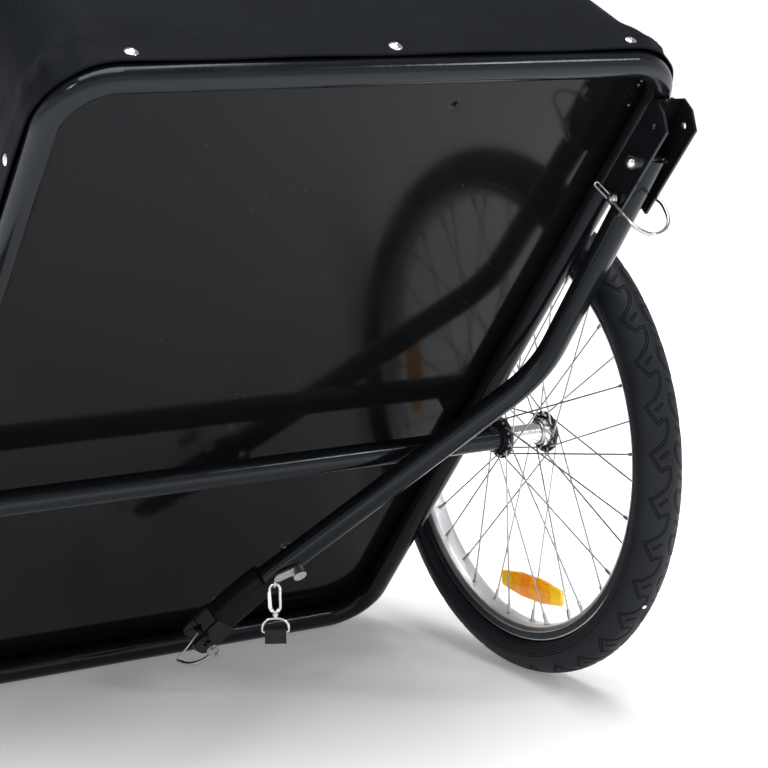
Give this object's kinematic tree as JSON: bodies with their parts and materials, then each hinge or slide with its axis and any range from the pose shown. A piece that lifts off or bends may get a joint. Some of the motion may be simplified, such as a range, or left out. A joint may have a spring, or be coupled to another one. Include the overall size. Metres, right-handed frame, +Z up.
{
  "type": "bicycle cargo trailer",
  "caption": "Two-wheeled bicycle trailer with a fabric load box on a tube frame and a tow arm folded under its floor, resting tipped back on its rear rail.",
  "frame": {"origin": "on the floor under the middle of the trailer's bounding box as it rests, tipped back on its wheels and rear rail", "axes": "+Z up, +X level towards the trailer's raised front end, +Y to the trailer's left along the axle"},
  "size_m": [0.8222, 0.79, 0.8352],
  "materials": {
    "frame_paint": "gloss black powder coat",
    "floor": "high gloss black sheet",
    "side_fabric": "coated woven polyester",
    "cover_fabric": "coated woven polyester",
    "tyre": "matt black rubber",
    "rim": "polished",
    "hub": "satin",
    "spoke": "plain steel wire",
    "reflector": "amber prism plastic",
    "zinc": "zinc plated",
    "nickel": "nickel plated",
    "bushing": "black nylon",
    "coupler": "black rubber",
    "webbing": "woven nylon webbing"
  },
  "bodies": {
    "chassis": {"front_rail": "frame_paint", "rear_rail": "frame_paint", "left_rail": "frame_paint", "right_rail": "frame_paint", "floor_panel": "floor", "axle_tube": "frame_paint", "axle_saddle_left": "frame_paint", "axle_bushing_left": "bushing", "axle_pin_left": "zinc", "axle_saddle_right": "frame_paint", "axle_bushing_right": "bushing", "axle_pin_right": "zinc", "tow_channel": "frame_paint", "pivot_bolt": "zinc", "wall_front": "side_fabric", "wall_rear": "side_fabric", "wall_left": "side_fabric", "wall_right": "side_fabric", "cover": "cover_fabric", "hoop_front": "frame_paint", "hoop_rear": "frame_paint", "top_bar_left": "frame_paint", "top_bar_right": "frame_paint"},
    "wheel_left": {"tyre_left": "tyre", "rim_left": "rim", "hub_left": "hub", "spokes_left": "spoke", "reflector_left": "reflector"},
    "wheel_right": {"tyre_right": "tyre", "rim_right": "rim", "hub_right": "hub", "spokes_right": "spoke", "reflector_right": "reflector"},
    "tow_arm": {"tow_arm": "frame_paint", "flex_coupler": "coupler", "hitch_fork": "frame_paint", "end_bolt": "zinc", "hook_tab": "nickel", "snap_hook": "nickel", "swivel_ring": "nickel", "hook_strap": "webbing"}
  },
  "joints": [
    {"name": "wheel_left_spin", "type": "hinge", "parent": "chassis", "child": "wheel_left", "pos_m": [0.07512, 0.3525, 0.254], "axis": [0, 1, 0], "continuous": true},
    {"name": "wheel_right_spin", "type": "hinge", "parent": "chassis", "child": "wheel_right", "pos_m": [0.07512, -0.3525, 0.254], "axis": [0, 1, 0], "continuous": true},
    {"name": "tow_arm_swing", "type": "hinge", "parent": "chassis", "child": "tow_arm", "pos_m": [0.36167, 0.297, 0.56118], "axis": [0, -1, 0], "range_deg": [0, 176.8]}
  ]
}
